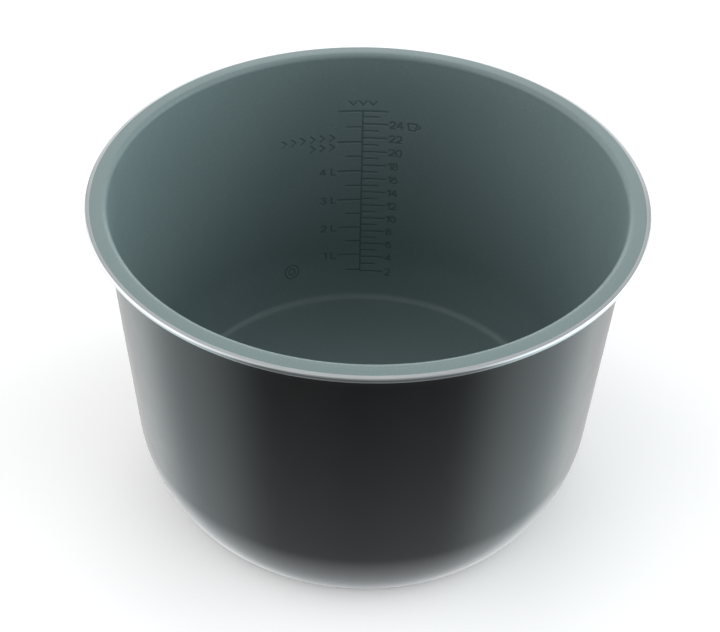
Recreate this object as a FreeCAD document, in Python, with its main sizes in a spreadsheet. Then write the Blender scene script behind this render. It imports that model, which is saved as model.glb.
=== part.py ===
import FreeCAD, Part
import math
import os

import Sketcher

# The inner cooking pot of an electric pressure cooker: a deep-drawn aluminium vessel with a flat
# flange, a non-stick coating inside and a heat-resistant coating outside. It has no handles and
# no moving pieces. Millimetres, +Z up along the pot's axis, origin at the centre of the base, and
# the measuring scale on the +Y side of the inside wall.
#
# Every surface of the pot is a parallel offset of one outline, the outside surface: domed base,
# flat standing ring, corner, shoulder, drafted wall, neck and flange. Offset 0 is the outside, and
# the offset grows inwards through the outer coating, the metal and the inner coating. The metal
# comes to the surface in two places: the turned outer edge of the flange and the turned base.

DIMENSIONS = {
    "pot_height": 170.0,
    "flange_radius": 135.0,
    "bare_edge_width": 2.2,
    "edge_round": 0.9,
    "lower_edge_round": 0.25,
    "under_coat_gap": 0.9,
    "wall_radius": 127.0,
    "wall_draft": 1.6,
    "neck_round": 0.4,
    "shoulder_round": 80.0,
    "corner_round": 6.0,
    "base_radius": 109.4,
    "bare_base_radius": 108.4,
    "ring_inner_radius": 98.0,
    "dome_height": 6.0,
    "metal_thickness": 1.8,
    "coat_thickness": 0.3,
    "scale_azimuth": 92.0,
    "groove_width": 0.8,
    "groove_depth": 0.18,
    "short_tick": 9.4,
    "long_tick": 14.4,
    "litre_share": 0.965,
    "litre_start": 0.14,
    "litre_limit": 6.03,
    "litre_step": 0.5,
    "last_litre_mark": 5.5,
    "cup_litres": 0.2335,
    "first_cup": 2,
    "last_cup": 25,
    "cut_clearance": 5.0,
}

# the numbers by which a sketch calls its own origin, its upright axis and a curve's points
START, END, CENTRE = 1, 2, 3
ORIGIN_POINT = (-1, START)
UPRIGHT_AXIS = -2

document = FreeCAD.newDocument("cooking_pot")


def make_sheet():
    """The spreadsheet that holds the driving dimensions."""
    sheet = document.addObject("Spreadsheet::Sheet", "Sheet")
    for row, (alias, value) in enumerate(DIMENSIONS.items(), start=1):
        sheet.set("A%d" % row, alias)
        sheet.set("B%d" % row, str(value))
        sheet.setAlias("B%d" % row, alias)
    document.recompute()
    return sheet


sheet = make_sheet()

COAT = "Sheet.coat_thickness"
METAL_INSIDE = "Sheet.coat_thickness + Sheet.metal_thickness"
INSIDE = "2 * Sheet.coat_thickness + Sheet.metal_thickness"
FLANGE_EDGE = "Sheet.flange_radius"
INNER_COAT_EDGE = "Sheet.flange_radius - Sheet.bare_edge_width"
OUTER_COAT_EDGE = "Sheet.flange_radius - Sheet.under_coat_gap"


def wall_thickness():
    return sheet.metal_thickness + 2 * sheet.coat_thickness


def outline_points(offset):
    """Centres, tangent angle and joints of the outline at one offset, worked out from the sheet."""
    draft = math.radians(sheet.wall_draft)
    neck = (
        sheet.wall_radius + sheet.neck_round * math.cos(draft),
        sheet.pot_height - wall_thickness() - sheet.neck_round,
    )
    corner = (sheet.base_radius, sheet.corner_round)
    across = (corner[0] - neck[0]) * math.cos(draft) - (corner[1] - neck[1]) * math.sin(draft)
    centres_apart = sheet.shoulder_round - sheet.corner_round
    turn = draft + math.acos((across + sheet.neck_round + sheet.shoulder_round) / centres_apart)
    shoulder = (
        corner[0] - centres_apart * math.cos(turn),
        corner[1] + centres_apart * math.sin(turn),
    )
    neck_reach = sheet.neck_round + offset
    shoulder_reach = sheet.shoulder_round - offset
    dome_round = (sheet.ring_inner_radius ** 2 + sheet.dome_height ** 2) / (2 * sheet.dome_height)
    return {
        "draft": draft,
        "turn": turn,
        "neck": neck,
        "shoulder": shoulder,
        "corner": corner,
        "dome": (0.0, sheet.dome_height + offset - dome_round),
        "dome_round": dome_round,
        "wall_top": (
            neck[0] - neck_reach * math.cos(draft),
            neck[1] + neck_reach * math.sin(draft),
        ),
        "wall_foot": (
            shoulder[0] + shoulder_reach * math.cos(draft),
            shoulder[1] - shoulder_reach * math.sin(draft),
        ),
    }


def arc(centre, radius, start, end):
    """An arc in the sketch plane, anticlockwise from one angle to the other."""
    circle = Part.Circle(FreeCAD.Vector(centre[0], centre[1], 0), FreeCAD.Vector(0, 0, 1), radius)
    return Part.ArcOfCircle(circle, start, end)


def line(start, end):
    return Part.LineSegment(FreeCAD.Vector(*start, 0), FreeCAD.Vector(*end, 0))


def origin_plane(body, role):
    """One of a body's own origin planes."""
    return [plane for plane in body.Origin.OriginFeatures if plane.Role == role][0]


def outline_sketch(body, name, offset_rule, edge_rule, top_rule):
    """A closed half section: the pot's outline at an offset, filled up to a level and an edge.

    The three rules are expressions in the sheet's aliases: how far inside the outside surface the
    outline lies, the radius where the flange stops, and the height of the section's flat top.
    """
    sketch = body.newObject("Sketcher::SketchObject", name)
    sketch.AttachmentSupport = [(origin_plane(body, "XZ_Plane"), "")]
    sketch.MapMode = "FlatFace"

    offset = evaluate(sketch, offset_rule)
    edge = evaluate(sketch, edge_rule)
    top = evaluate(sketch, top_rule)
    points = outline_points(offset)
    flange = sheet.pot_height - wall_thickness() + offset
    slope = math.atan2(sheet.ring_inner_radius, points["dome_round"] - sheet.dome_height)

    axis = sketch.addGeometry(line((0, top), (0, sheet.dome_height + offset)))
    dome = sketch.addGeometry(
        arc(points["dome"], points["dome_round"], math.pi / 2 - slope, math.pi / 2)
    )
    ring = sketch.addGeometry(line((sheet.ring_inner_radius, offset), (sheet.base_radius, offset)))
    corner = sketch.addGeometry(
        arc(points["corner"], sheet.corner_round - offset, -math.pi / 2, -points["turn"])
    )
    shoulder = sketch.addGeometry(
        arc(points["shoulder"], sheet.shoulder_round - offset, -points["turn"], -points["draft"])
    )
    wall = sketch.addGeometry(line(points["wall_foot"], points["wall_top"]))
    neck = sketch.addGeometry(
        arc(points["neck"], sheet.neck_round + offset, math.pi / 2, math.pi - points["draft"])
    )
    land = sketch.addGeometry(line((points["neck"][0], flange), (edge, flange)))
    rim = sketch.addGeometry(line((edge, flange), (edge, top)))
    lid = sketch.addGeometry(line((edge, top), (0, top)))

    joints = [
        ("Coincident", axis, END, dome, END),
        ("Coincident", dome, START, ring, START),
        ("Tangent", ring, END, corner, START),
        ("Tangent", corner, END, shoulder, START),
        ("Tangent", shoulder, END, wall, START),
        ("Tangent", wall, END, neck, END),
        ("Tangent", neck, START, land, START),
        ("Coincident", land, END, rim, START),
        ("Coincident", rim, END, lid, START),
        ("Coincident", lid, END, axis, START),
        ("PointOnObject", axis, END, UPRIGHT_AXIS),
        ("PointOnObject", dome, CENTRE, UPRIGHT_AXIS),
    ]
    for joint in joints:
        sketch.addConstraint(Sketcher.Constraint(*joint))
    for edge_index in (axis, rim):
        sketch.addConstraint(Sketcher.Constraint("Vertical", edge_index))
    for edge_index in (ring, land, lid):
        sketch.addConstraint(Sketcher.Constraint("Horizontal", edge_index))

    driving = [
        ("dome_top", "DistanceY", (*ORIGIN_POINT, dome, END), "Sheet.dome_height + " + offset_rule),
        ("ring_height", "DistanceY", (*ORIGIN_POINT, ring, START), offset_rule),
        ("ring_inside", "DistanceX", (*ORIGIN_POINT, ring, START), "Sheet.ring_inner_radius"),
        ("ring_outside", "DistanceX", (*ORIGIN_POINT, ring, END), "Sheet.base_radius"),
        ("corner_radius", "Radius", (corner,), "Sheet.corner_round - (%s)" % offset_rule),
        ("shoulder_radius", "Radius", (shoulder,), "Sheet.shoulder_round - (%s)" % offset_rule),
        ("neck_radius", "Radius", (neck,), "Sheet.neck_round + " + offset_rule),
        (
            "neck_place",
            "DistanceX",
            (*ORIGIN_POINT, neck, CENTRE),
            "Sheet.wall_radius + Sheet.neck_round * cos(Sheet.wall_draft)",
        ),
        (
            "flange_height",
            "DistanceY",
            (*ORIGIN_POINT, land, END),
            flange_level(offset_rule),
        ),
        ("flange_edge", "DistanceX", (*ORIGIN_POINT, land, END), edge_rule),
        ("top", "DistanceY", (*ORIGIN_POINT, lid, START), top_rule),
    ]
    for label, kind, where, rule in driving:
        value = evaluate(sketch, rule)
        index = sketch.addConstraint(Sketcher.Constraint(kind, *where, value))
        sketch.renameConstraint(index, label)
        sketch.setExpression("Constraints." + label, rule)
    upright = math.pi / 2
    index = sketch.addConstraint(Sketcher.Constraint("Angle", wall, upright - points["draft"]))
    sketch.renameConstraint(index, "wall_angle")
    sketch.setExpression("Constraints.wall_angle", "90deg - Sheet.wall_draft * 1deg")
    return sketch


def evaluate(holder, rule):
    """The number that an expression in the sheet's aliases gives."""
    return float(holder.evalExpression(rule))


def turn(body, kind, name, sketch):
    """A full turn of a sketch about its own upright axis, which adds or removes material."""
    feature = body.newObject("PartDesign::" + kind, name)
    feature.Profile = sketch
    feature.ReferenceAxis = (sketch, ["V_Axis"])
    feature.Angle = 360.0
    sketch.Visibility = False
    document.recompute()


def new_body(label):
    body = document.addObject("PartDesign::Body", label)
    body.Label = label
    return body


def flange_level(offset_rule):
    """Height of the flange's face at an offset."""
    return "Sheet.pot_height - (%s) + %s" % (INSIDE, offset_rule)


def fill_outside(body, offset_rule, edge_rule, top_rule):
    """Everything inside the outline at an offset, as a solid of revolution."""
    sketch = outline_sketch(body, body.Label + "_outside", offset_rule, edge_rule, top_rule)
    turn(body, "Revolution", body.Label + "_solid", sketch)


def hollow_out(body, offset_rule, edge_rule):
    """Remove everything inside the outline at an offset, up past the top of the pot."""
    above = "Sheet.pot_height + Sheet.cut_clearance"
    sketch = outline_sketch(body, body.Label + "_inside", offset_rule, edge_rule, above)
    turn(body, "Groove", body.Label + "_hollow", sketch)


def base_disc_sketch(body, name):
    """A circle of the bare base's size on the base plane."""
    sketch = body.newObject("Sketcher::SketchObject", name)
    sketch.AttachmentSupport = [(origin_plane(body, "XY_Plane"), "")]
    sketch.MapMode = "FlatFace"
    circle = Part.Circle(FreeCAD.Vector(), FreeCAD.Vector(0, 0, 1), sheet.bare_base_radius)
    disc = sketch.addGeometry(circle)
    sketch.addConstraint(Sketcher.Constraint("Coincident", disc, CENTRE, *ORIGIN_POINT))
    index = sketch.addConstraint(Sketcher.Constraint("Radius", disc, sheet.bare_base_radius))
    sketch.renameConstraint(index, "disc_radius")
    sketch.setExpression("Constraints.disc_radius", "Sheet.bare_base_radius")
    sketch.Visibility = False
    return sketch


def dome_recess_sketch(body, name):
    """The space between the floor that the pot stands on and the domed base."""
    sketch = body.newObject("Sketcher::SketchObject", name)
    sketch.AttachmentSupport = [(origin_plane(body, "XZ_Plane"), "")]
    sketch.MapMode = "FlatFace"
    points = outline_points(0.0)
    slope = math.atan2(sheet.ring_inner_radius, points["dome_round"] - sheet.dome_height)
    axis = sketch.addGeometry(line((0, 0), (0, sheet.dome_height)))
    dome = sketch.addGeometry(
        arc(points["dome"], points["dome_round"], math.pi / 2 - slope, math.pi / 2)
    )
    floor = sketch.addGeometry(line((sheet.ring_inner_radius, 0), (0, 0)))
    joints = [
        ("Coincident", axis, END, dome, END),
        ("Coincident", dome, START, floor, START),
        ("Coincident", floor, END, axis, START),
        ("Coincident", axis, START, *ORIGIN_POINT),
        ("Vertical", axis),
        ("Horizontal", floor),
        ("PointOnObject", dome, CENTRE, UPRIGHT_AXIS),
    ]
    for joint in joints:
        sketch.addConstraint(Sketcher.Constraint(*joint))
    for label, kind, point, alias in (
        ("rise", "DistanceY", (*ORIGIN_POINT, dome, END), "dome_height"),
        ("reach", "DistanceX", (*ORIGIN_POINT, dome, START), "ring_inner_radius"),
    ):
        index = sketch.addConstraint(Sketcher.Constraint(kind, *point, DIMENSIONS[alias]))
        sketch.renameConstraint(index, label)
        sketch.setExpression("Constraints." + label, "Sheet." + alias)
    return sketch


def make_pot_body():
    """The drawn vessel: its metal, the bare lip of the flange and the bare base."""
    body = new_body("pot_body")
    fill_outside(body, COAT, FLANGE_EDGE, "Sheet.pot_height")
    land = body.newObject("PartDesign::Pad", "base_land")
    land.Profile = base_disc_sketch(body, "base_land_disc")
    land.setExpression("Length", "Sheet.dome_height + Sheet.coat_thickness")
    document.recompute()
    hollow_out(body, METAL_INSIDE, INNER_COAT_EDGE)
    turn(body, "Groove", "dome_recess", dome_recess_sketch(body, "dome_recess_section"))
    round_rim(body)
    return body


def make_outer_coating():
    """The black layer: wall, corner and underside of the flange, open over the bare base."""
    body = new_body("outer_coating")
    fill_outside(body, "0", OUTER_COAT_EDGE, flange_level(COAT))
    hollow_out(body, COAT, OUTER_COAT_EDGE + " + Sheet.cut_clearance")
    opening = body.newObject("PartDesign::Pocket", "base_opening")
    opening.Profile = base_disc_sketch(body, "base_opening_disc")
    opening.setExpression("Length", "Sheet.dome_height + Sheet.cut_clearance")
    opening.Reversed = True
    document.recompute()
    return body


def make_plain_coating():
    """The grey layer on the inside and on top of the flange, before the scale."""
    body = new_body("plain_coating")
    fill_outside(body, METAL_INSIDE, INNER_COAT_EDGE, flange_level(INSIDE))
    hollow_out(body, INSIDE, INNER_COAT_EDGE + " + Sheet.cut_clearance")
    return body


def round_rim(body):
    """Round the bare metal edge: a larger radius above, a small one below."""
    tolerance = 1e-3
    for name, height, alias in (
        ("rim_top_round", sheet.pot_height, "edge_round"),
        ("rim_foot_round", sheet.pot_height - wall_thickness() + sheet.coat_thickness,
         "lower_edge_round"),
    ):
        tip = body.Tip
        chosen = []
        for number, edge in enumerate(tip.Shape.Edges, start=1):
            if edge.Degenerated or not isinstance(edge.Curve, Part.Circle):
                continue
            curve = edge.Curve
            same_radius = abs(curve.Radius - sheet.flange_radius) < tolerance
            if same_radius and abs(curve.Center.z - height) < tolerance:
                chosen.append("Edge%d" % number)
        fillet = body.newObject("PartDesign::Fillet", name)
        fillet.Base = (tip, chosen)
        fillet.setExpression("Radius", "Sheet." + alias)
        document.recompute()


def inside_radius(height):
    """Radius of the pot's inside surface at a height above the base."""
    offset = wall_thickness()
    points = outline_points(offset)
    corner_reach = sheet.corner_round - offset
    shoulder_reach = sheet.shoulder_round - offset
    corner_top = points["corner"][1] - corner_reach * math.sin(points["turn"])
    if height < corner_top:
        drop = points["corner"][1] - height
        return points["corner"][0] + math.sqrt(max(corner_reach ** 2 - drop ** 2, 0.0))
    if height < points["wall_foot"][1]:
        drop = points["shoulder"][1] - height
        return points["shoulder"][0] + math.sqrt(shoulder_reach ** 2 - drop ** 2)
    return points["wall_foot"][0] + (height - points["wall_foot"][1]) * math.tan(points["draft"])


def level_of(litres):
    """Height of the mark for so many litres, by adding up thin slices from the standing ring.

    The marks run a little closer together than true litres and start a little higher.
    """
    cubic_millimetres = (litres * sheet.litre_share + sheet.litre_start) * 100.0 ** 3
    rise = sheet.dome_height
    dome_volume = math.pi * rise * (3 * sheet.ring_inner_radius ** 2 + rise ** 2) / 6
    slice_height = 0.05
    height = wall_thickness()
    filled = -dome_volume
    while filled < cubic_millimetres:
        filled += math.pi * inside_radius(height + slice_height / 2) ** 2 * slice_height
        height += slice_height
    return height


def ring_groove(height, start_length, end_length, half_width):
    """A groove of constant depth along the wall, between two arc lengths from the scale's line."""
    radius = inside_radius(height)
    slant = math.tan(math.radians(sheet.wall_draft))
    clear = 1.0
    low, high = height - half_width, height + half_width
    section = [
        (radius - half_width * slant - clear, low),
        (radius - half_width * slant + sheet.groove_depth, low),
        (radius + half_width * slant + sheet.groove_depth, high),
        (radius + half_width * slant - clear, high),
    ]
    corners = [FreeCAD.Vector(across, 0, up) for across, up in section]
    face = Part.Face(Part.makePolygon(corners + corners[:1]))
    first = sheet.scale_azimuth - math.degrees(end_length / radius)
    span = math.degrees((end_length - start_length) / radius)
    face.rotate(FreeCAD.Vector(), FreeCAD.Vector(0, 0, 1), first)
    return face.revolve(FreeCAD.Vector(), FreeCAD.Vector(0, 0, 1), span)


def scale_grooves():
    """The measuring scale's lines: cups to the right of the upright line, litres to the left."""
    half = sheet.groove_width / 2
    top = level_of(sheet.litre_limit)
    foot = level_of(sheet.first_cup * sheet.cup_litres)
    grooves = [
        ring_groove(top, half, sheet.long_tick, half),
        ring_groove(top, -sheet.long_tick, -half, half),
    ]
    for cups in range(int(sheet.first_cup), int(sheet.last_cup) + 1):
        reach = sheet.long_tick if cups % 2 == 0 else sheet.short_tick
        grooves.append(ring_groove(level_of(cups * sheet.cup_litres), half, reach, half))
    for steps in range(1, int(sheet.last_litre_mark / sheet.litre_step) + 1):
        reach = sheet.long_tick if steps % 2 == 0 else sheet.short_tick
        grooves.append(ring_groove(level_of(steps * sheet.litre_step), -reach, -half, half))
    middle = (top + foot) / 2
    grooves.append(ring_groove(middle, -half, half, (top - foot) / 2 + half))
    return grooves[0].fuse(grooves[1:])


def engraved_coating(coating):
    """The inner coating with the scale's grooves cut into it."""
    tool = document.addObject("Part::Feature", "scale_tool")
    tool.Shape = scale_grooves()
    cut = document.addObject("Part::Cut", "engraved_coating")
    cut.Label = "inner_coating"
    cut.Base = coating
    cut.Tool = tool
    document.recompute()
    wanted = coating.Shape.common(tool.Shape).Volume
    removed = coating.Shape.Volume - cut.Shape.Volume
    allowed = 0.01 * wanted
    if abs(removed - wanted) > allowed:
        raise RuntimeError("the scale's grooves were not all cut")
    return cut


def check(parts):
    """Stop if any object failed or any sub-part is empty or not valid."""
    for item in document.Objects:
        if item.TypeId == "Sketcher::SketchObject" and item.solve() != 0:
            raise RuntimeError("%s does not solve" % item.Name)
        for flag in ("Invalid", "Error"):
            if flag in item.State:
                raise RuntimeError("%s is %s" % (item.Name, flag))
    for part in parts:
        if part.Shape.isNull() or not part.Shape.isValid():
            raise RuntimeError("%s has no valid shape" % part.Label)


parts = [make_pot_body(), make_outer_coating(), engraved_coating(make_plain_coating())]
check(parts)
os.makedirs("parts", exist_ok=True)
for part in parts:
    part.Shape.exportStep("parts/%s.step" % part.Label)
    print(part.Label, "volume", round(part.Shape.Volume), "faces", len(part.Shape.Faces))
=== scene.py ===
import math

import bpy
import numpy as np
from mathutils import Matrix, Vector


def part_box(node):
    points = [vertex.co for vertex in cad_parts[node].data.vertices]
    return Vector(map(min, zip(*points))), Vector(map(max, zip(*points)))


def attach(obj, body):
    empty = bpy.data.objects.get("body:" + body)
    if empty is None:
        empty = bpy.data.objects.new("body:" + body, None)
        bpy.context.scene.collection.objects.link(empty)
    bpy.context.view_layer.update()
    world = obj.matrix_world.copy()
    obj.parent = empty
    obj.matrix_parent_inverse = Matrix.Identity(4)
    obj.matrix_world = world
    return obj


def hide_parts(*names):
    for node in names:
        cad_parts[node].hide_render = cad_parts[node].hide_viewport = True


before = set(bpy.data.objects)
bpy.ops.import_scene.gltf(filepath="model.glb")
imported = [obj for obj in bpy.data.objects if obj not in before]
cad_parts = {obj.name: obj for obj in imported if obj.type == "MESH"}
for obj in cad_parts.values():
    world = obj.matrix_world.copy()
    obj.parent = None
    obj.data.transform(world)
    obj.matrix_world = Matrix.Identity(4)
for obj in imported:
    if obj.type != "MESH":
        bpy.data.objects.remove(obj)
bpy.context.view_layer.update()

# The inner pot of a pressure cooker, in metres. Each piece is a closed solid of revolution whose
# half section is an offset of the pot's outside surface, as the CAD part builds it.
MM = 0.001

# ---------------------------------------------------------------- sizes
pot_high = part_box("pot_body")[1]
black_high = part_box("outer_coating")[1]
grey_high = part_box("inner_coating")[1]

COAT = 0.3 * MM
POT_HEIGHT = pot_high.z
SHEET = POT_HEIGHT - black_high.z + COAT
FLANGE_RADIUS = pot_high.x
GREY_EDGE = grey_high.x
BLACK_EDGE = black_high.x
WALL_RADIUS = 127.0 * MM
WALL_DRAFT = math.radians(1.6)
NECK_ROUND = 0.4 * MM
SHOULDER_ROUND = 80.0 * MM
CORNER_ROUND = 6.0 * MM
INSIDE_CORNER_FILL = 2.2 * MM
BASE_RADIUS = 109.4 * MM
BARE_BASE_RADIUS = 108.4 * MM
RING_INNER_RADIUS = 98.0 * MM
DOME_HEIGHT = 6.0 * MM
DOME_EASE = 3.0 * MM
DOME_FULLNESS = 1.12
EDGE_ROUND = 0.9 * MM
LOWER_EDGE_ROUND = 0.12 * MM
ON_AXIS = 1e-7
SHARP_ANGLE = math.radians(40)
OUTSIDE_COLUMNS = 360

# the measuring scale: litres to the left of the upright line, rice cups to the right
CUP = 0.2335
FIRST_CUP, LAST_CUP = 2, 25
LITRE_STEP, LAST_LITRE_MARK = 0.5, 5.5
LIMIT = 6.03
LITRE_SHARE, LITRE_START = 0.965, 0.14
SCALE_AZIMUTH = math.radians(92.0)
SHORT_TICK = 9.4 * MM
LONG_TICK = 14.4 * MM
VOLUME_SLICES = 4000
GROOVE_HALF = 0.42 * MM
GROOVE_EDGE = 0.24 * MM
GROOVE_DEPTH = 0.28 * MM
FIGURE_HEIGHT = 4.4 * MM
FIGURE_GAP = 1.0 * MM
LABEL_GAP = 1.6 * MM
FIGURED_LITRES = (1, 2, 3, 4)

# the small marks beside the scale: arrowheads at its two limits, a cup, and two rings low down
ARROW_PITCH = 5.8 * MM
LIMIT_ARROW_RISE = 5.2 * MM
COOKING_LIMIT = 5
ROW_RISE = 3.2 * MM
LONG_ROW, LONG_ROW_MIDDLE = 6, 16.5 * MM
SHORT_ROW, SHORT_ROW_MIDDLE = 3, 7.8 * MM
CUP_SIGN_AT, CUP_SIGN_SHIFT = 24, 10.5 * MM
RINGS_ACROSS, RINGS_UP = -44 * MM, 23 * MM
RING_RADII = (2.0 * MM, 4.4 * MM)


# ---------------------------------------------------------------- the outline
def outline_centres():
    """Centres of the neck's and the shoulder's arcs."""
    neck = (
        WALL_RADIUS + NECK_ROUND * math.cos(WALL_DRAFT),
        POT_HEIGHT - SHEET - NECK_ROUND,
    )
    corner = (BASE_RADIUS, CORNER_ROUND)
    across = (corner[0] - neck[0]) * math.cos(WALL_DRAFT) - (corner[1] - neck[1]) * math.sin(WALL_DRAFT)
    apart = SHOULDER_ROUND - CORNER_ROUND
    turn = WALL_DRAFT + math.acos((across + NECK_ROUND + SHOULDER_ROUND) / apart)
    shoulder = (corner[0] - apart * math.cos(turn), corner[1] + apart * math.sin(turn))
    return neck, shoulder


def arc_points(centre, radius, start, end, steps):
    """Points on an arc, both ends included."""
    angles = np.linspace(start, end, steps + 1)
    return np.stack([centre[0] + radius * np.cos(angles), centre[1] + radius * np.sin(angles)], 1)


def dome_points(offset, steps):
    """The domed base from the axis to the standing ring, with its foot eased into the ring."""
    share = np.linspace(0.0, 1.0, steps + 1)
    height = DOME_HEIGHT * (1 - share ** 2) ** DOME_FULLNESS
    return np.stack([share * (RING_INNER_RADIUS + DOME_EASE), height + offset], 1)


def straight(start, end, steps):
    """Points on a straight line, both ends included."""
    share = np.linspace(0.0, 1.0, steps + 1)[:, None]
    return np.asarray(start) * (1 - share) + np.asarray(end) * share


def joined(*runs):
    """Runs of points end to end, without the repeated points where they meet."""
    return np.vstack([runs[0]] + [run[1:] for run in runs[1:]])


def outline(offset, edge, steps, corner_fill=0.0):
    """The outline at an offset inwards from the outside surface: axis, base, wall, neck, flange.

    A corner fill makes the corner's arc so much larger, still tangent to the base and the shoulder.
    """
    neck, shoulder = outline_centres()
    bend_radius = CORNER_ROUND - offset + corner_fill
    apart = SHOULDER_ROUND - offset - bend_radius
    turn = math.asin((shoulder[1] - offset - bend_radius) / apart)
    corner = (shoulder[0] + apart * math.cos(turn), offset + bend_radius)
    dome = dome_points(offset, steps["dome"])
    ring = straight(dome[-1], (corner[0], offset), steps["ring"])
    bend = arc_points(corner, bend_radius, -math.pi / 2, -turn, steps["corner"])
    side = arc_points(shoulder, SHOULDER_ROUND - offset, -turn, -WALL_DRAFT, steps["shoulder"])
    throat = arc_points(neck, NECK_ROUND + offset, math.pi - WALL_DRAFT, math.pi / 2, steps["neck"])
    wall = straight(side[-1], throat[0], steps["wall"])
    land = straight(throat[-1], (edge, POT_HEIGHT - SHEET + offset), steps["land"])
    return joined(dome, ring, bend, side, wall, throat, land)


# how many steps each part of the outline has, on surfaces that are seen and on hidden ones
SEEN = {"dome": 14, "ring": 2, "corner": 8, "shoulder": 26, "wall": 12, "neck": 8, "land": 2}
HIDDEN = {"dome": 8, "ring": 1, "corner": 5, "shoulder": 18, "wall": 1, "neck": 4, "land": 1}


# ---------------------------------------------------------------- meshes
def new_object(name, vertices, faces):
    """A smooth-shaded mesh whose edges are sharp where the surface really turns a corner."""
    mesh = bpy.data.meshes.new(name)
    mesh.from_pydata([tuple(map(float, point)) for point in vertices], [], faces)
    mesh.validate()
    mesh.polygons.foreach_set("use_smooth", [True] * len(mesh.polygons))
    mesh.set_sharp_from_angle(angle=SHARP_ANGLE)
    mesh.update()
    piece = bpy.data.objects.new(name, mesh)
    bpy.context.scene.collection.objects.link(piece)
    return piece


def add_ring(vertices, point, angles):
    """Adds a circle of vertices, or one on the axis, and returns their numbers, one per angle."""
    radius, height = point
    start = len(vertices)
    if radius < ON_AXIS:
        vertices.append((0.0, 0.0, height))
        return [start] * len(angles)
    vertices.extend((radius * math.cos(a), radius * math.sin(a), height) for a in angles)
    return list(range(start, start + len(angles)))


def with_points_between(corners, between):
    """A face's corners, with the extra vertices on its sides. A corner met twice counts once."""
    loop = []
    for corner, after in zip(corners, corners[1:] + corners[:1]):
        if corner == after:
            continue
        loop.append(corner)
        loop.extend(between.get((corner, after), []))
    return tuple(loop)


def skin(rings, between=None, leave_out=()):
    """Faces between each circle and the next, facing left of the way from ring to ring."""
    faces = []
    for row, (ring, outer) in enumerate(zip(rings, rings[1:])):
        for column in range(len(ring)):
            if (row, column) in leave_out:
                continue
            after = (column + 1) % len(ring)
            corners = [ring[column], outer[column], outer[after], ring[after]]
            faces.append(with_points_between(corners, between or {}))
    return faces


def lathe(name, section, columns):
    """A closed solid of revolution of a half section that runs clockwise from axis to axis."""
    angles = np.linspace(0.0, 2 * math.pi, columns, endpoint=False)
    vertices = []
    rings = [add_ring(vertices, point, angles) for point in section]
    if section[0][0] > ON_AXIS:
        rings.append(rings[0])
    return new_object(name, vertices, skin(rings))


# ---------------------------------------------------------------- the measuring scale's strokes
def level_of(litres, section):
    """Height of the mark for so many litres, by adding up thin slices above the floor.

    The marks run a little closer together than true litres and start a little higher.
    """
    inside = section[(section[:, 0] >= BASE_RADIUS) & (section[:, 1] < POT_HEIGHT - SHEET)]
    heights = np.linspace(SHEET, POT_HEIGHT - SHEET, VOLUME_SLICES)
    radii = np.interp(heights, inside[:, 1], inside[:, 0])
    slices = math.pi * (radii[1:] ** 2 + radii[:-1] ** 2) / 2 * np.diff(heights)
    dome = math.pi * DOME_HEIGHT * (3 * RING_INNER_RADIUS ** 2 + DOME_HEIGHT ** 2) / 6
    filled = np.concatenate([[0.0], np.cumsum(slices)]) - dome
    cubic_metres = (litres * LITRE_SHARE + LITRE_START) / 1000
    return float(np.interp(cubic_metres, filled, heights))


def bow(x, y, across, up, start, end, steps=16):
    """Part of an ellipse, in degrees, as a run of points."""
    angles = np.radians(np.linspace(start, end, steps + 1))
    return [(x + across * math.cos(a), y + up * math.sin(a)) for a in angles]


# plain single-stroke figures on a cell one unit high: the width, then the strokes
FIGURES = {
    "0": (0.76, [bow(0.38, 0.5, 0.38, 0.5, 0, 360, 28)]),
    "1": (0.28, [[(0.0, 0.80), (0.28, 1.0), (0.28, 0.0)]]),
    "2": (0.70, [bow(0.35, 0.68, 0.33, 0.32, 165, -35) + [(0.0, 0.0), (0.70, 0.0)]]),
    "3": (0.68, [bow(0.32, 0.77, 0.28, 0.23, 155, -90), bow(0.32, 0.27, 0.36, 0.27, 90, -155)]),
    "4": (0.80, [[(0.58, 0.0), (0.58, 1.0), (0.0, 0.27), (0.80, 0.27)]]),
    "6": (0.70, [bow(0.35, 0.32, 0.35, 0.32, 0, 360, 24), bow(0.74, 0.32, 0.74, 0.70, 180, 108)]),
    "8": (0.70, [bow(0.35, 0.77, 0.28, 0.23, 0, 360, 22), bow(0.35, 0.27, 0.35, 0.27, 0, 360, 24)]),
    "L": (0.54, [[(0.0, 1.0), (0.0, 0.0), (0.54, 0.0)]]),
    " ": (0.32, []),
}


def figures(text, across, up, to_the_left=False):
    """Strokes of a number centred on a height, beginning, or ending, at `across`."""
    widths = [FIGURES[figure][0] * FIGURE_HEIGHT for figure in text]
    pen = across
    if to_the_left:
        pen -= sum(widths) + FIGURE_GAP * (len(text) - 1)
    strokes = []
    for figure, width in zip(text, widths):
        for run in FIGURES[figure][1]:
            strokes.append([(pen + x * FIGURE_HEIGHT, up + (y - 0.5) * FIGURE_HEIGHT) for x, y in run])
        pen += width + FIGURE_GAP
    return strokes


def chevrons(count, across, up, turned=False):
    """A row of open arrowheads, pointing to the right, or down where `turned` is true."""
    half = FIGURE_HEIGHT / 2
    strokes = []
    for place in range(count):
        middle = across + (place - (count - 1) / 2) * ARROW_PITCH
        points = [(-0.6 * half, half), (0.6 * half, 0.0), (-0.6 * half, -half)]
        if turned:
            points = [(y, -x) for x, y in points]
        strokes.append([(middle + x, up + y) for x, y in points])
    return strokes


def cup_sign(across, up):
    """A plain cup with a handle, its left side at `across`."""
    half, width = FIGURE_HEIGHT / 2, 1.25 * FIGURE_HEIGHT
    bowl = [
        (across, up + half), (across + width, up + half),
        (across + 0.82 * width, up - half), (across + 0.18 * width, up - half), (across, up + half),
    ]
    handle = bow(across + 0.96 * width, up + 0.15 * half, 0.38 * width, 0.55 * half, 80, -100)
    return [bowl, handle]


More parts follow.
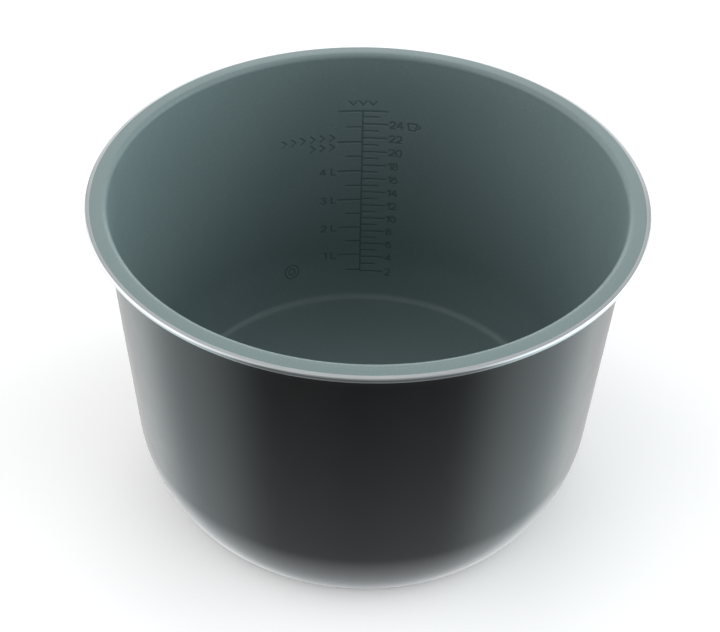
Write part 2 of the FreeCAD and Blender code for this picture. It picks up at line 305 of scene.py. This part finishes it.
def scale_strokes(section):
    """The scale's centre lines: arc length to the right of the upright line, and height."""
    beside = LONG_TICK + LABEL_GAP
    top, foot = level_of(LIMIT, section), level_of(FIRST_CUP * CUP, section)
    strokes = [[(0.0, foot), (0.0, top)], [(-LONG_TICK, top), (LONG_TICK, top)]]
    strokes += chevrons(SHORT_ROW, 0.0, top + LIMIT_ARROW_RISE, turned=True)
    for cups in range(FIRST_CUP, LAST_CUP + 1):
        height = level_of(cups * CUP, section)
        strokes.append([(0.0, height), (LONG_TICK if cups % 2 == 0 else SHORT_TICK, height)])
        if cups % 2 == 0:
            strokes += figures(str(cups), beside, height)
        if cups == CUP_SIGN_AT:
            strokes += cup_sign(beside + CUP_SIGN_SHIFT, height)
    for step in range(1, int(LAST_LITRE_MARK / LITRE_STEP) + 1):
        litres = step * LITRE_STEP
        height = level_of(litres, section)
        strokes.append([(0.0, height), (-LONG_TICK if litres % 1 == 0 else -SHORT_TICK, height)])
        if litres in FIGURED_LITRES:
            strokes += figures("%d L" % litres, -beside, height, to_the_left=True)
        if litres == COOKING_LIMIT:
            strokes += chevrons(LONG_ROW, -beside - LONG_ROW_MIDDLE, height + ROW_RISE)
            strokes += chevrons(SHORT_ROW, -beside - SHORT_ROW_MIDDLE, height - ROW_RISE)
    for ring in RING_RADII:
        strokes.append(bow(RINGS_ACROSS, RINGS_UP, ring, ring, 0, 360, 32))
    return strokes


def groove_depth(across, up, strokes):
    """Depth of the pressed marks at points of the wall, from their distance to the centre lines."""
    flat, edge = GROOVE_HALF - GROOVE_EDGE, GROOVE_HALF + GROOVE_EDGE
    nearest = np.full(across.shape, edge)
    for run in strokes:
        for (x0, y0), (x1, y1) in zip(run, run[1:]):
            near = (
                (across > min(x0, x1) - edge) & (across < max(x0, x1) + edge)
                & (up > min(y0, y1) - edge) & (up < max(y0, y1) + edge)
            )
            dx, dy = x1 - x0, y1 - y0
            px, py = across[near] - x0, up[near] - y0
            along = np.clip((px * dx + py * dy) / (dx * dx + dy * dy), 0.0, 1.0)
            distance = np.hypot(px - along * dx, py - along * dy)
            nearest[near] = np.minimum(nearest[near], distance)
    share = np.clip((edge - nearest) / (edge - flat), 0.0, 1.0)
    return GROOVE_DEPTH * share * share * (3 - 2 * share)


# ---------------------------------------------------------------- the inside coat
INSIDE_COLUMNS = 240
INSIDE_STEPS = dict(SEEN, corner=12)
CELL = 0.45 * MM
PATCH_LOW, PATCH_HIGH = 11.0 * MM, 146.0 * MM
PATCH_LEFT, PATCH_RIGHT = math.radians(26.5), math.radians(17.5)


def fine_rows(section, first, last):
    """Points one cell apart on the outline between two rows, and which of them are those rows."""
    shoulder = np.array(outline_centres()[1])
    points, kept = [section[first]], [0]
    for start, end in zip(section[first:last], section[first + 1:last + 1]):
        steps = max(1, round(float(np.hypot(*(end - start))) / CELL))
        for step in range(1, steps + 1):
            point = start + (end - start) * step / steps
            if point[1] < shoulder[1] - SHOULDER_ROUND * math.sin(WALL_DRAFT):
                spoke = point - shoulder
                point = shoulder + spoke / np.hypot(*spoke) * (SHOULDER_ROUND - SHEET)
            points.append(point)
        kept.append(len(points) - 1)
    return np.array(points), kept


def scale_patch(vertices, rings, section, angles):
    """Fills part of the wall with a fine grid that carries the scale.

    Returns its faces, the coarse cells that it takes the place of, the vertices on its border
    between coarse ones, and how far each new vertex is pressed in, as a share of the full depth.
    """
    pitch = angles[1] - angles[0]
    inside = (section[:, 0] > BASE_RADIUS) & (section[:, 1] > PATCH_LOW) & (section[:, 1] < PATCH_HIGH)
    first, last = np.where(inside)[0][[0, -1]]
    start = int((SCALE_AZIMUTH - PATCH_RIGHT) / pitch)
    end = int((SCALE_AZIMUTH + PATCH_LEFT) / pitch) + 1
    across_cells = round(pitch * WALL_RADIUS / CELL)
    points, kept = fine_rows(section, first, last)
    kept_columns = list(range(0, (end - start) * across_cells + 1, across_cells))
    turns = np.linspace(angles[start], angles[end], kept_columns[-1] + 1)

    tangent = np.gradient(points, axis=0)
    tangent /= np.hypot(tangent[:, 0], tangent[:, 1])[:, None]
    radius, height = points[:, :1], np.repeat(points[:, 1:], len(turns), axis=1)
    depth = groove_depth((SCALE_AZIMUTH - turns) * radius, height, scale_strokes(section))
    radius = radius + depth * tangent[:, 1:]
    height = height - depth * tangent[:, :1]

    patch = np.full(depth.shape, -1)
    for place, column in zip(kept_columns, range(start, end + 1)):
        patch[0, place] = rings[first][column]
        patch[-1, place] = rings[last][column]
    for place, row in zip(kept, range(first, last + 1)):
        patch[place, 0] = rings[row][start]
        patch[place, -1] = rings[row][end]
    new = patch < 0
    patch[new] = len(vertices) + np.arange(new.sum())
    vertices.extend(zip((radius * np.cos(turns))[new], (radius * np.sin(turns))[new], height[new]))

    between = {}
    sides = [(patch[0], kept_columns), (patch[-1], kept_columns), (patch[:, 0], kept), (patch[:, -1], kept)]
    for side, places in sides:
        for here, there in zip(places, places[1:]):
            run = [int(number) for number in side[here:there + 1]]
            between[run[0], run[-1]] = run[1:-1]
            between[run[-1], run[0]] = run[-2:0:-1]
    corners = np.stack([patch[:-1, :-1], patch[1:, :-1], patch[1:, 1:], patch[:-1, 1:]], axis=-1)
    faces = [tuple(map(int, face)) for face in corners.reshape(-1, 4)]
    replaced = {(row, column) for row in range(first, last) for column in range(start, end)}
    return faces, replaced, between, depth[new] / GROOVE_DEPTH


def make_inside_coat():
    """The grey non-stick coat, a closed shell with the scale pressed into its face."""
    angles = np.linspace(0.0, 2 * math.pi, INSIDE_COLUMNS, endpoint=False)
    vertices = []
    face_section = outline(SHEET, GREY_EDGE, INSIDE_STEPS, INSIDE_CORNER_FILL)
    back_section = outline(SHEET - COAT, GREY_EDGE, HIDDEN)[::-1]
    rings = [add_ring(vertices, point, angles) for point in face_section]
    back = [add_ring(vertices, point, angles) for point in back_section]
    patch_faces, replaced, between, pressed = scale_patch(vertices, rings, face_section, angles)
    piece = new_object("inside_coat", vertices, patch_faces + skin(rings + back, between, replaced))
    flush = np.zeros(len(vertices) - len(pressed))
    # how far each point is pressed in; the coat's material also uses this to paint shade into the grooves
    attribute = piece.data.attributes.new("pressed", "FLOAT", "POINT")
    attribute.data.foreach_set("value", np.concatenate([flush, pressed]))
    return piece


# ---------------------------------------------------------------- the outside coat and the metal
def past_base(section):
    """The part of an outline that lies past the flat of the base."""
    return section[section[:, 0] >= BASE_RADIUS - ON_AXIS]


def make_outside_coat():
    """The black coat: the outside from the edge of the bare base to just short of the lip."""
    outside = past_base(outline(0.0, BLACK_EDGE, SEEN))
    inside = past_base(outline(COAT, BLACK_EDGE, HIDDEN))
    foot = [(BARE_BASE_RADIUS, COAT), (BARE_BASE_RADIUS, 0.0)]
    section = np.vstack([foot, outside, inside[::-1]])
    return lathe("outside_coat", section[::-1], OUTSIDE_COLUMNS)


def make_metal():
    """The pot's aluminium: its lip and its turned base are bare, the rest is under the coats."""
    under = POT_HEIGHT - SHEET + COAT
    base = dome_points(0.0, SEEN["dome"])
    ring = straight(base[-1], (BARE_BASE_RADIUS, 0.0), 4)
    step = np.array([(BARE_BASE_RADIUS, COAT)])
    outside = past_base(outline(COAT, BLACK_EDGE, HIDDEN))
    lower_centre = (FLANGE_RADIUS - LOWER_EDGE_ROUND, under + LOWER_EDGE_ROUND)
    upper_centre = (FLANGE_RADIUS - EDGE_ROUND, POT_HEIGHT - EDGE_ROUND)
    lower = arc_points(lower_centre, LOWER_EDGE_ROUND, -math.pi / 2, 0.0, 6)
    upper = arc_points(upper_centre, EDGE_ROUND, 0.0, math.pi / 2, 10)
    lip = np.vstack([lower, upper, [(GREY_EDGE, POT_HEIGHT)]])
    inside = outline(SHEET - COAT, GREY_EDGE, HIDDEN)
    section = np.vstack([joined(base, ring), step, outside, lip, inside[::-1]])
    return lathe("pot_metal", section[::-1], OUTSIDE_COLUMNS)


# ---------------------------------------------------------------- materials
def new_material(name, **constants):
    """A material with one Principled shader whose constants are set on its own sockets."""
    material = bpy.data.materials.new(name)
    material.use_nodes = True
    shader = material.node_tree.nodes["Principled BSDF"]
    for socket, value in constants.items():
        shader.inputs[socket.replace("_", " ")].default_value = value
    return material, shader


def node(material, kind, settings=None, **inputs):
    """A node of a kind, with its settings, and its inputs as numbers or as other nodes' outputs."""
    made = material.node_tree.nodes.new("ShaderNode" + kind)
    for name, value in (settings or {}).items():
        setattr(made, name, value)
    for name, value in inputs.items():
        by_number = name[1:].isdigit()
        socket = made.inputs[int(name[1:])] if by_number else made.inputs[name.replace("_", " ")]
        if isinstance(value, bpy.types.NodeSocket):
            material.node_tree.links.new(value, socket)
        else:
            socket.default_value = value
    return made


def noise(material, position, scale, detail=2.0, roughness=0.5):
    """Noise with so many features to the metre."""
    made = node(material, "TexNoise", None, Vector=position, Scale=scale, Detail=detail,
                Roughness=roughness)
    return made.outputs["Fac"]


def spread(material, value, low, high, lowest=0.0, highest=1.0):
    """Maps the range from `low` to `high` to another range, held at its ends."""
    made = node(material, "MapRange", None, Value=value, From_Min=low, From_Max=high,
                To_Min=lowest, To_Max=highest)
    return made.outputs["Result"]


def mix_colours(material, share, first, second):
    """Mixes two colours, each given as numbers or as a node's output."""
    made = node(material, "Mix", {"data_type": "RGBA"}, Factor=share)
    for socket, colour in ((made.inputs[6], first), (made.inputs[7], second)):
        if isinstance(colour, bpy.types.NodeSocket):
            material.node_tree.links.new(colour, socket)
        else:
            socket.default_value = (*colour, 1.0)
    return made.outputs[2]


def bump(material, height, strength, distance, before=None):
    """A normal bent by a height, over another bent normal where one is given."""
    made = node(material, "Bump", None, Height=height, Strength=strength, Distance=distance)
    if before is not None:
        material.node_tree.links.new(before, made.inputs["Normal"])
    return made.outputs["Normal"]


def link(material, output, socket):
    material.node_tree.links.new(output, socket)


def place_in_object(material):
    return node(material, "TexCoord").outputs["Object"]


def radius_in_object(material, place):
    """Distance from the pot's axis, as a vector along X, for marks that run round the pot."""
    parts = node(material, "SeparateXYZ", None, Vector=place)
    flat = node(material, "CombineXYZ", None, X=parts.outputs["X"], Y=parts.outputs["Y"], Z=0.0)
    length = node(material, "VectorMath", {"operation": "LENGTH"}, _0=flat.outputs["Vector"])
    round_pot = node(material, "CombineXYZ", None, X=length.outputs["Value"], Y=0.0,
                     Z=parts.outputs["Z"])
    return round_pot.outputs["Vector"]


def clouded(material, place, scale, first, second):
    """Two near colours that drift into each other over the surface."""
    clouds = spread(material, noise(material, place, scale, 3.0), 0.35, 0.65)
    return mix_colours(material, clouds, first, second)


GREY_GROUND = ((0.144, 0.198, 0.200), (0.154, 0.210, 0.212))
GREY_SPECK = (0.210, 0.262, 0.258)
# painted shade: a darker grey for the pressed marks that stands in for the shade in their grooves
GREY_PAINTED_GROOVE_SHADE = (0.085, 0.120, 0.120)
BLACK_GROUND = ((0.0010, 0.0011, 0.0012), (0.0018, 0.0020, 0.0021))
METAL_GROUND = ((0.440, 0.465, 0.475), (0.490, 0.515, 0.525))


def grey_non_stick():
    """A cool grey ceramic-filled non-stick coat, satin, with a very fine sprayed texture and painted shade
    in its pressed marks.
    """
    material, shader = new_material("grey_non_stick", IOR=1.45)
    place = place_in_object(material)
    ground = clouded(material, place, 14.0, *GREY_GROUND)
    specks = spread(material, noise(material, place, 1500.0, 2.0, 0.6), 0.56, 0.72)
    coated = mix_colours(material, specks, ground, GREY_SPECK)
    # painted shade in the grooves: the coat's colour darkens towards the darker grey as deep as each point
    # is pressed in
    pressed = node(material, "Attribute", {"attribute_name": "pressed"}).outputs["Fac"]
    colour = mix_colours(material, pressed, coated, GREY_PAINTED_GROOVE_SHADE)
    matt = spread(material, noise(material, place, 60.0, 4.0), 0.3, 0.7, 0.40, 0.48)
    peel = bump(material, noise(material, place, 900.0, 2.0), 0.10, 0.08 * MM)
    waves = bump(material, noise(material, place, 120.0, 2.0), 0.05, 0.2 * MM, peel)
    link(material, colour, shader.inputs["Base Color"])
    link(material, matt, shader.inputs["Roughness"])
    link(material, waves, shader.inputs["Normal"])
    return material


def satin_black():
    """A satin black sprayed coat with a slight orange peel."""
    material, shader = new_material("satin_black", IOR=1.5)
    place = place_in_object(material)
    matt = spread(material, noise(material, place, 90.0, 4.0), 0.3, 0.7, 0.235, 0.26)
    peel = bump(material, noise(material, place, 700.0, 2.0), 0.05, 0.05 * MM)
    link(material, clouded(material, place, 11.0, *BLACK_GROUND), shader.inputs["Base Color"])
    link(material, matt, shader.inputs["Roughness"])
    link(material, peel, shader.inputs["Normal"])
    return material


def turned_aluminium():
    """Bare aluminium with the fine concentric marks of the lathe."""
    material, shader = new_material("turned_aluminium", Metallic=1.0)
    place = place_in_object(material)
    marks = noise(material, radius_in_object(material, place), 2600.0, 3.0, 0.7)
    link(material, clouded(material, place, 30.0, *METAL_GROUND), shader.inputs["Base Color"])
    link(material, spread(material, marks, 0.3, 0.7, 0.22, 0.36), shader.inputs["Roughness"])
    link(material, bump(material, marks, 0.25, 0.06 * MM), shader.inputs["Normal"])
    return material


# ---------------------------------------------------------------- the pieces
def place_piece(piece, material, cad_node):
    """Gives a piece its material and puts it in the place of its CAD node."""
    piece.data.materials.append(material)
    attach(piece, "root")
    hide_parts(cad_node)


place_piece(make_metal(), turned_aluminium(), "pot_body")
place_piece(make_outside_coat(), satin_black(), "outer_coating")
place_piece(make_inside_coat(), grey_non_stick(), "inner_coating")


# ---------------------------------------------------------------- the studio
FLOOR_HALF = 15.0
FLOOR_TONE = 0.93
FLOOR_GLOW = 0.15


def make_floor():
    """A pale paper floor that glows a little. Reflections show the studio's panels in its place."""
    low, high = -FLOOR_HALF, FLOOR_HALF
    mesh = bpy.data.meshes.new("floor")
    mesh.from_pydata([(low, low, 0), (high, low, 0), (high, high, 0), (low, high, 0)], [], [(0, 1, 2, 3)])
    floor = bpy.data.objects.new("floor", mesh)
    bpy.context.scene.collection.objects.link(floor)
    material, shader = new_material("pale_paper", Roughness=0.9, IOR=1.1, Emission_Strength=FLOOR_GLOW)
    shader.inputs["Base Color"].default_value = (FLOOR_TONE, FLOOR_TONE, FLOOR_TONE, 1.0)
    shader.inputs["Emission Color"].default_value = (1.0, 1.0, 1.0, 1.0)
    mesh.materials.append(material)
    floor.visible_glossy = False


PLAIN = (1.0, 1.0, 1.0)
FAINTLY_COOL = (0.95, 1.0, 1.03)
COOL = (0.85, 1.0, 1.02)

# soft panels of light: bearing from the front, height, inner and outer half width, in degrees, and
# the light's strength and tint
PANELS = {
    "front_low": (0, 12, 15, 50, 0.40, PLAIN),
    "left_low": (-90, 12, 15, 60, 2.35, PLAIN),
    "left_high": (-90, 50, 15, 55, 0.30, PLAIN),
    "right_low": (90, 12, 15, 60, 2.90, FAINTLY_COOL),
    "back_horizon": (180, 0, 10, 38, 3.20, PLAIN),
    "back_middle": (180, 42, 10, 40, 0.65, PLAIN),
    "overhead": (0, 90, 10, 50, 0.65, PLAIN),
    "floor_left_front": (-50, -40, 10, 40, 0.10, PLAIN),
    "floor_right_front": (50, -40, 10, 40, 0.10, PLAIN),
    "floor_left": (-95, -35, 10, 40, 0.92, COOL),
    "floor_right": (95, -35, 10, 40, 1.08, COOL),
    "floor_left_back": (-147, -35, 10, 42, 0.95, PLAIN),
    "floor_right_back": (147, -35, 10, 42, 0.88, PLAIN),
    "floor_back": (180, -50, 10, 42, 0.25, PLAIN),
    "floor_below": (0, -90, 10, 45, 1.35, FAINTLY_COOL),
}


def make_world():
    """A studio of soft panels: bright at the sides and behind, dim towards the viewer."""
    world = bpy.data.worlds.new("studio")
    world.use_nodes = True
    bpy.context.scene.world = world
    background = world.node_tree.nodes["Background"]
    direction = node(world, "TexCoord").outputs["Generated"]
    total = None
    for bearing, height, inner, outer, strength, tint in PANELS.values():
        turn, lift = math.radians(bearing), math.radians(height)
        middle = (math.sin(turn) * math.cos(lift), -math.cos(turn) * math.cos(lift), math.sin(lift))
        facing = node(world, "VectorMath", {"operation": "DOT_PRODUCT"}, _0=direction, _1=middle)
        share = node(world, "MapRange", {"interpolation_type": "SMOOTHSTEP"},
                     Value=facing.outputs["Value"],
                     From_Min=math.cos(math.radians(outer)), From_Max=math.cos(math.radians(inner)))
        colour = [strength * part for part in tint]
        light = node(world, "VectorMath", {"operation": "MULTIPLY_ADD"},
                     _0=share.outputs["Result"], _1=colour)
        if total is not None:
            world.node_tree.links.new(total, light.inputs[2])
        total = light.outputs["Vector"]
    world.node_tree.links.new(total, background.inputs["Color"])
    background.inputs["Strength"].default_value = 1.0


def make_camera():
    """A camera above the front, turned slightly about its own axis."""
    place = Vector((0.0, -478.95, 507.3)) * MM
    aim = Vector((-2.54, 0.0, 84.56)) * MM
    roll = math.radians(1.399)
    data = bpy.data.cameras.new("camera")
    data.sensor_width = 36.0
    data.lens = 60.309
    data.clip_start = 0.01
    camera = bpy.data.objects.new("camera", data)
    bpy.context.scene.collection.objects.link(camera)
    back = (place - aim).normalized()
    level = Vector((0.0, 0.0, 1.0)).cross(back).normalized()
    upward = back.cross(level)
    right = level * math.cos(roll) + upward * math.sin(roll)
    axes = Matrix((right, back.cross(right), back)).transposed()
    camera.matrix_world = Matrix.Translation(place) @ axes.to_4x4()
    bpy.context.scene.camera = camera


make_floor()
make_world()
make_camera()
bpy.context.scene.view_settings.view_transform = "Standard"
